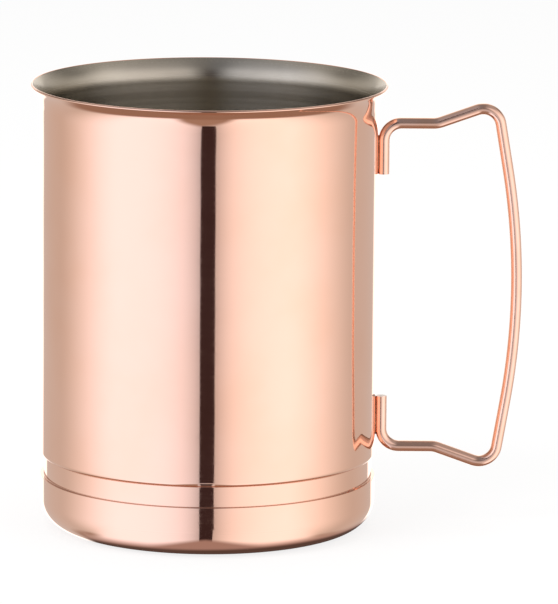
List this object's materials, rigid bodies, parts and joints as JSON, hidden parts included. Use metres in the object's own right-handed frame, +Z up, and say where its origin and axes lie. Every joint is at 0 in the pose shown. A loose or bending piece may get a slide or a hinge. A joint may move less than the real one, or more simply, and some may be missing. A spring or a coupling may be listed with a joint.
{
  "type": "drinking mug",
  "caption": "Straight-sided drinking mug with a flared lip, a rolled belt above the base and a bent wire handle welded to one side.",
  "frame": {"origin": "centre of the flat underside, on the cup's axis", "axes": "+Z up along the cup's axis, +X from the axis to the handle, +Y square to the handle"},
  "size_m": [0.1256, 0.091, 0.1144],
  "materials": {
    "steel": "satin stainless steel, left bare inside the cup",
    "copper": null,
    "plated_wire": "polished copper plating on steel wire",
    "weld": "copper-plated weld metal, duller and darker than the wire"
  },
  "bodies": {
    "root": {"steel_cup": "steel", "copper_plating": "copper", "handle_wire": "plated_wire", "upper_weld": "weld", "lower_weld": "weld"}
  },
  "joints": []
}
